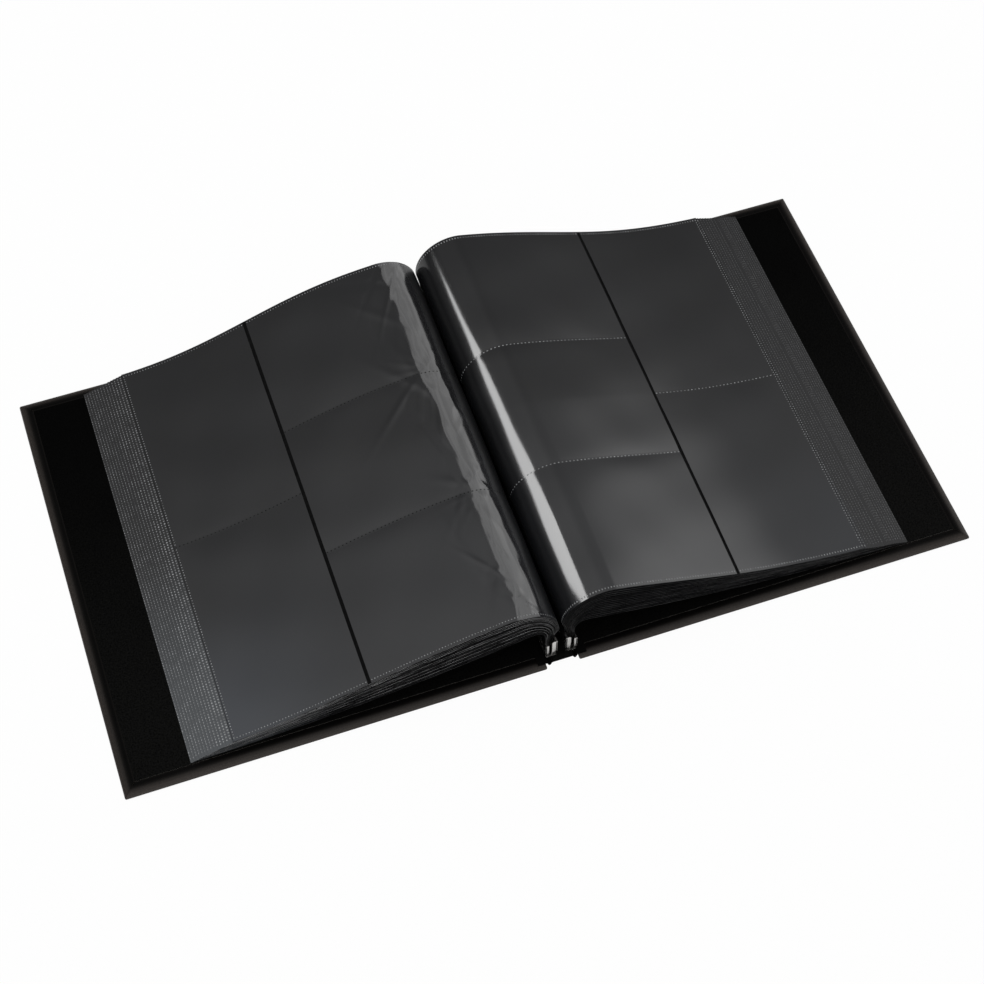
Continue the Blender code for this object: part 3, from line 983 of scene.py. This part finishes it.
def pockets(line, face, lively):
    films(line, face, lively)
    welds(line, face, lively)


def make_leaves():
    for line in LINES.values():
        core(line)
        if line.number == 0:
            pockets(line, "upper", True)
        else:
            edge_welds(line)
    # What shows when the top right leaf is turned over: its back, and the leaf under it
    pockets(LINES["right", 0], "lower", False)
    pockets(LINES["right", 1], "upper", False)


def swept(name, path, tail, head, half, looks, sign, count=2):
    """A sheet of even thickness whose path in X and Z runs from the tail to the head."""
    out = beside(np.gradient(path, axis=0))
    cols = np.linspace(tail, head, count)
    faces = ((path + out * off).T[..., None] for off in (half, -half))
    grids = [grid(sign * x, cols, z, sign) for x, z in faces]
    rows = np.concatenate([[0], np.cumsum(lengths(path))])
    return sheet(name, *grids, rows, cols, looks, sign)


def fit(piece, body, node):
    """Has a piece ride on a body, in the place of a solid, which it hides."""
    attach(piece, body)
    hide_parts(node)


def trough(inner, outer, low, radius, points):
    """The rounded bottom of a channel, from its inner leg to its outer one."""
    return np.concatenate(
        [
            arc(inner + radius, low + radius, radius, pi, 1.5 * pi, points),
            arc(outer - radius, low + radius, radius, 1.5 * pi, 2 * pi, points),
        ]
    )


def make_bound_edge(side):
    """The tape round the bound edge of one half of the leaves, drawn over the rail's inner leg."""
    inner = BLOCK_INNER - 0.12 * MM
    over = (RAIL_INNER - 0.57 * MM + inner) / 2
    outer = BLOCK_OUTER + 0.12 * MM
    path = np.concatenate(
        [
            [(2 * over - inner, RAIL_TOP - 8 * MM)],
            arc(over, RAIL_TOP + 0.12 * MM - (inner - over), over - inner, 0.0, -pi, 9),
            [(inner, BLOCK_TOP)],
            trough(inner, outer, BLOCK_LOW + 0.1 * MM, 0.8 * MM, 8),
            [(outer, BLOCK_TOP)],
        ]
    )
    name = f"{side}_bound_edge"
    piece = swept(name, path, LEAF_TAIL, LEAF_HEAD, 0.1 * MM, ["bare_page"], SIGN[side])
    fit(piece, "spine", f"{side}_leaf_roots")


# ---------------------------------------------------------------- covers and spine


CORNER_POINTS = 7
SKIN_PROUD_FORE = 1.0 * MM
SKIN_PROUD_ENDS = 2.2 * MM


def cover_ring(near, other, z, radius):
    """Points of a rounded rectangle on the cover, each side set in from the edge of its skin."""
    x0, x1 = COVER_NEAR + near + radius, COVER_FAR + SKIN_PROUD_FORE - other - radius
    y = COVER_HALF + SKIN_PROUD_ENDS - other - radius
    ring = []
    for cx, cy, first in ((x0, -y, pi), (x1, -y, 1.5 * pi), (x1, y, 0.0), (x0, y, 0.5 * pi)):
        for i in range(CORNER_POINTS):
            angle = first + i / (CORNER_POINTS - 1) * pi / 2
            ring.append([cx + radius * cos(angle), cy + radius * sin(angle), z])
    return ring


def ringed(name, rings, looks):
    """A closed piece from rings of as many points, the first and the last filled in. A second look
    is for the band between the first two."""
    size = len(rings[0])
    verts = np.array(rings).reshape(-1, 3)
    faces = []
    for level in range(len(rings) - 1):
        a, b = level * size, (level + 1) * size
        faces += [(a + i, a + (i + 1) % size, b + (i + 1) % size, b + i) for i in range(size)]
    last = (len(rings) - 1) * size
    faces += [tuple(reversed(range(size))), tuple(range(last, last + size))]
    if name.startswith("front"):
        verts[:, 0] *= -1
        faces = [tuple(reversed(face)) for face in faces]
    piece = show(name, verts, faces, looks)
    piece.data.set_sharp_from_angle(angle=radians(50))
    for face in piece.data.polygons[:size]:
        face.material_index = len(looks) - 1
    return piece


def cover_piece(side, title, rings, looks, node):
    name = COVER[side]
    piece = ringed(f"{name}_{title}", rings, looks)
    fit(piece, f"{name}_cover", f"{name}_{node}")


def make_skin(side):
    """The leatherette round a board, with soft edges, turned in and mitred at the outer corners."""
    high = COVER_THICKNESS - 0.05 * MM
    foot = 0.9 * MM
    slope = 7.5 * MM
    corner = 1.2 * MM
    # Inset at the joint and on the other sides, height, and whether the mitre dents the corners
    profile = []
    for i in range(5):
        angle = i / 4 * pi / 2
        inset = foot * (1 - sin(angle))
        profile.append((inset, inset, foot * (1 - cos(angle)), False))
    for i in range(1, 11):
        angle = i / 10 * pi / 2
        out = 1 - cos(angle)
        profile.append((1.4 * MM * out, slope * out, foot + (high - foot) * sin(angle), i > 3))
    profile += [
        (1.5 * MM, 10.4 * MM, high, True),
        (1.6 * MM, 10.7 * MM, high - 0.15 * MM, True),
        (1.6 * MM, 10.8 * MM, HOLLOW_HIGH, True),
        (1.5 * MM, 7.0 * MM, 3.4 * MM, True),
        (1.3 * MM, 4.5 * MM, 3.1 * MM, True),
        (1.0 * MM, 2.6 * MM, 2.5 * MM, False),
        (HOLLOW_LOW, 1.2 * MM, 1.6 * MM, False),
        (HOLLOW_LOW, 1.2 * MM, HOLLOW_LOW, False),
    ]
    rings = []
    for near, other, z, creased in profile:
        ring = cover_ring(near, other, z, max(corner - other, 0.3 * MM))
        if creased:
            for number in (1, 2):
                ring[number * CORNER_POINTS + CORNER_POINTS // 2][2] -= 0.3 * MM
        rings.append(ring)
    cover_piece(side, "cover_skin", rings, ["leatherette"], "skin")


def make_board(side):
    """The board in a cover, its edges bevelled under the soft slope of the skin."""
    profile = (
        (1.8, 2.2, 0.6),
        (1.8, 1.8, 0.8),
        (1.8, 1.8, 1.6),
        (1.8, 3.2, 2.3),
        (1.9, 6.0, 2.95),
        (2.2, 8.0, 3.2),
    )
    rings = [cover_ring(near * MM, other * MM, z * MM, 0.5 * MM) for near, other, z in profile]
    cover_piece(side, "bevelled_board", rings, ["greyboard"], "board")


def make_endpaper(side):
    """The lining paper inside a cover, over the turned-in edges, with its pale cut edge."""
    margin = 9.4 * MM
    profile = ((1.8, 0.0, 0.0), (1.8, 0.0, 0.16), (1.9, 0.15, 0.2), (2.2, 0.5, 0.2))
    rings = [
        cover_ring(near * MM, margin + more * MM, COVER_THICKNESS + rise * MM, 0.5 * MM)
        for near, more, rise in profile
    ]
    cover_piece(side, "lining", rings, ["lining_paper", "paper_edge"], "endpaper")


def make_joint(side):
    """The cloth strip in the joint between the spine and a cover, slack in a shallow groove."""
    near, far = SPINE_HALF + 0.1 * MM, COVER_NEAR - 0.55 * MM
    under = JOINT_LEVEL - 0.55 * MM
    share = np.linspace(0, 1, 15)
    depth = 3.3 * MM * np.clip(np.sin(pi * share), 0, 1) ** 1.4
    lap = np.linspace(far, COVER_NEAR + 6 * MM, 8)[1:]
    path = np.concatenate(
        [
            [(SPINE_HALF - 1.2 * MM, under), (SPINE_HALF - 0.5 * MM, under)],
            np.column_stack(
                [between(near, far, share), between(under, JOINT_LEVEL, share) - depth]
            ),
            np.column_stack([lap, np.full_like(lap, JOINT_LEVEL)]),
        ]
    )
    name = COVER[side]
    title, half = f"{name}_joint_strip", JOINT_THICKNESS / 2
    cloth = swept(title, path, -JOINT_HALF, JOINT_HALF, half, ["joint_cloth"], SIGN[side], 30)
    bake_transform(cloth)
    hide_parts(f"{name}_joint_cloth")


def make_rail(side):
    """A bright sheet-metal channel, its inner leg the taller one."""
    inner, outer = (RAIL_INNER, RAIL_TOP - 0.1 * MM), (RAIL_OUTER, RAIL_OUTER_TOP)
    bottom = trough(RAIL_INNER, RAIL_OUTER, RAIL_LEVEL, 1.6 * MM, 10)
    path = np.concatenate([[inner], bottom, [outer]])
    name = f"{side}_rail"
    piece = swept(name, path, RAIL_TAIL, RAIL_HEAD, RAIL_HALF, ["bright_steel"], SIGN[side])
    fit(piece, "spine", f"{side}_clip_rail")


def make_clip_ends(side):
    """Tabs folded in from the legs of a rail at both ends, which keep the bound edge in it."""
    inner = RAIL_INNER - RAIL_HALF
    outer = RAIL_OUTER + RAIL_HALF
    low, high = RAIL_LEVEL + RAIL_METAL, RAIL_OUTER_TOP
    arch = 1.9 * MM
    tall = arc(inner + arch, RAIL_TOP - arch - 0.2 * MM, arch, 0.0, pi, 13)
    tab = outer - 2.4 * MM
    outlines = {
        "arch": [(inner, low), (inner + 2 * arch, low), *tall],
        "tab": [(tab, low), (outer, low), (outer, high), (tab, high)],
    }
    soft = 0.15 * MM
    for shape, outline in outlines.items():
        outline = np.array(outline)
        middle = outline.mean(axis=0)
        small = middle + (outline - middle) * 0.93
        levels = (small, 0.0), (outline, soft), (outline, RAIL_METAL - soft), (small, RAIL_METAL)
        for end, y in (("tail", RAIL_TAIL), ("head", RAIL_HEAD - RAIL_METAL)):
            rings = [[(SIGN[side] * x, y + depth, z) for x, z in ring] for ring, depth in levels]
            if SIGN[side] > 0:
                rings = rings[::-1]
            piece = ringed(f"{side}_clip_{shape}_{end}", rings, ["bright_steel"])
            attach(piece, "spine")


def make_spine_lining():
    """The spine's stiffener, wrapped in black lining paper."""
    low, high = (Vector(c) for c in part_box("spine_board"))
    soft = 0.3 * MM
    rings = []
    for inset, z in (
        (soft, low.z),
        (0.0, low.z + soft),
        (0.0, high.z - soft),
        (0.3 * soft, high.z - 0.1 * soft),
        (2 * soft, high.z),
    ):
        x0, x1, y0, y1 = low.x + inset, high.x - inset, low.y + inset, high.y - inset
        rings.append([(x0, y0, z), (x1, y0, z), (x1, y1, z), (x0, y1, z)])
    piece = ringed("spine_lining", rings, ["lining_paper"])
    fit(piece, "spine", "spine_board")


def dress_spine_skin():
    """Leatherette and softened edges for the solid of the spine's skin."""
    skin = frame["nodes"]["spine_skin"]
    skin.data.materials.clear()
    skin.data.materials.append(LOOKS["leatherette"])
    soft = skin.modifiers.new("edges", "BEVEL")
    soft.width = 0.2 * MM
    soft.segments = 3
    soft.limit_method = "ANGLE"


# ---------------------------------------------------------------- studio


CAMERA_PLACE = Vector((-0.26267, -0.77524, 1.26686))
CAMERA_AIM = Vector((-0.00068, -0.01827, 0.0))
CAMERA_LENS = 74.40
GLOW_WAY = (0.80, 0.25, 0.54)
TABLE_REACH = 6.0
TABLE_LEVEL = -0.4 * MM


def make_floor():
    """A white table that shows as white to the eye, with a faint shadow."""
    mesh = bpy.data.meshes.new("table")
    ways = (-1, -1), (1, -1), (1, 1), (-1, 1)
    corners = [(x * TABLE_REACH, y * TABLE_REACH, TABLE_LEVEL) for x, y in ways]
    mesh.from_pydata(corners, [], [(0, 1, 2, 3)])
    look = bpy.data.materials.new("white_table")
    look.use_nodes = True
    tree = look.node_tree
    shader = tree.nodes["Principled BSDF"]
    shader.inputs["Base Color"].default_value = (0.9, 0.9, 0.9, 1.0)
    shader.inputs["Roughness"].default_value = 0.9
    glow = add_node(tree, "Emission").outputs["Emission"]
    seen = add_node(tree, "LightPath").outputs["Is Camera Ray"]
    share = combine("MULTIPLY", seen, 0.96)
    mix = add_node(tree, "MixShader", {"Fac": share, 1: shader.outputs["BSDF"], 2: glow})
    tree.links.new(mix.outputs["Shader"], tree.nodes["Material Output"].inputs["Surface"])
    mesh.materials.append(look)
    floor = bpy.data.objects.new("table", mesh)
    bpy.context.scene.collection.objects.link(floor)


def make_world():
    """A white surround to the eye that lights the object at a plain level. In reflections it dims
    towards the wall behind the head and low on the left, and glows low on the right."""
    world = bpy.data.worlds.new("surround")
    bpy.context.scene.world = world
    world.use_nodes = True
    tree = world.node_tree
    back = tree.nodes["Background"]
    back.inputs["Color"].default_value = (1.0, 1.0, 1.0, 1.0)
    path = add_node(tree, "LightPath").outputs
    way = add_node(tree, "TexCoord").outputs["Generated"]
    parts = parts_of(way)
    glow = ramp(dot(way, GLOW_WAY), 0.955, 0.995, 0.0, 1.45)
    wall = ramp(parts["Y"], 0.38, 0.64, 1.1, 0.42)
    left = ramp(parts["X"], -0.75, -0.45, 0.25, 1.0)
    right = ramp(parts["X"], 0.05, 0.40, 1.0, 0.8)
    sides = combine("MULTIPLY", left, right)
    mirror = combine("ADD", combine("MULTIPLY", wall, sides), glow)
    mirrored = combine("MAXIMUM", path["Is Glossy Ray"], path["Is Transmission Ray"])
    lit = add_node(tree, "Mix", {"Factor": mirrored, "A": 0.6, "B": mirror}).outputs["Result"]
    seen = add_node(tree, "Mix", {"Factor": path["Is Camera Ray"], "A": lit, "B": 1.0})
    tree.links.new(seen.outputs["Result"], back.inputs["Strength"])


def panel(name, place, facing, long_way, size, radiance, on=None):
    """A soft panel light, its first size along a direction. Radiance 1 is white where mirrored.
    One that serves some pieces alone only shows as their sheen; the others only give soft light."""
    lamp = bpy.data.lights.new(name, "AREA")
    lamp.shape = "RECTANGLE"
    lamp.size, lamp.size_y = size
    lamp.energy = radiance * pi * size[0] * size[1]
    lit = bpy.data.objects.new(name, lamp)
    back = -Vector(facing).normalized()
    long_way = Vector(long_way)
    first = (long_way - back * long_way.dot(back)).normalized()
    turn = Matrix((first, back.cross(first), back)).transposed()
    lit.matrix_world = Matrix.Translation(place) @ turn.to_4x4()
    lit.visible_camera = False
    lit.visible_diffuse = on is None
    lit.visible_glossy = on is not None
    bpy.context.scene.collection.objects.link(lit)
    if on:
        lit.light_linking.receiver_collection = on
    return lamp


def patchy(lamp, scale, low, high):
    """Makes a panel shine unevenly over its face."""
    lamp.use_nodes = True
    tree = lamp.node_tree
    spread = add_node(tree, "NewGeometry").outputs["Parametric"]
    clouds = add_node(tree, "TexNoise", {"Vector": spread, "Scale": scale}).outputs["Fac"]
    shade = ramp(clouds, 0.35, 0.65, low, high, "LINEAR")
    tree.links.new(shade, tree.nodes["Emission"].inputs["Strength"])


def gathered(name, start):
    """A collection of the pieces whose names begin alike, for a light that serves them alone."""
    made = bpy.data.collections.new(name)
    for piece in bpy.context.scene.collection.objects:
        if piece.type == "MESH" and piece.name.startswith(start):
            made.objects.link(piece)
    return made


def make_studio():
    make_floor()
    make_world()
    left_page = gathered("left_page", "left_leaf_01")
    right_page = gathered("right_page", "right_leaf_01")
    panel("overhead", (0.0, 0.25, 1.7), (0, 0, -1), (1, 0, 0), (2.0, 0.8), 2.2)
    place, facing = (0.445, 0.50, 0.50), (-0.89, 0, -0.456)
    card = panel("gutter_card", place, facing, (0, 1, 0), (0.80, 0.92), 1.9, left_page)
    patchy(card, 7.0, 0.72, 1.22)
    place, long_way = (-0.58, 0.31, 0.67), (0, -0.252, 0.968)
    panel("hump_card", place, (1, 0, 0), long_way, (0.68, 0.50), 10.5, right_page)
    eye = bpy.data.cameras.new("eye")
    eye.lens = CAMERA_LENS
    eye.sensor_width = 36.0
    camera = bpy.data.objects.new("eye", eye)
    camera.location = CAMERA_PLACE
    camera.rotation_euler = (CAMERA_AIM - CAMERA_PLACE).to_track_quat("-Z", "Y").to_euler()
    bpy.context.scene.collection.objects.link(camera)
    bpy.context.scene.camera = camera
    bpy.context.scene.view_settings.view_transform = "Standard"


make_leaves()
for half in SIGN:
    make_bound_edge(half)
    make_skin(half)
    make_board(half)
    make_endpaper(half)
    make_joint(half)
    make_rail(half)
    make_clip_ends(half)
make_spine_lining()
dress_spine_skin()
make_studio()
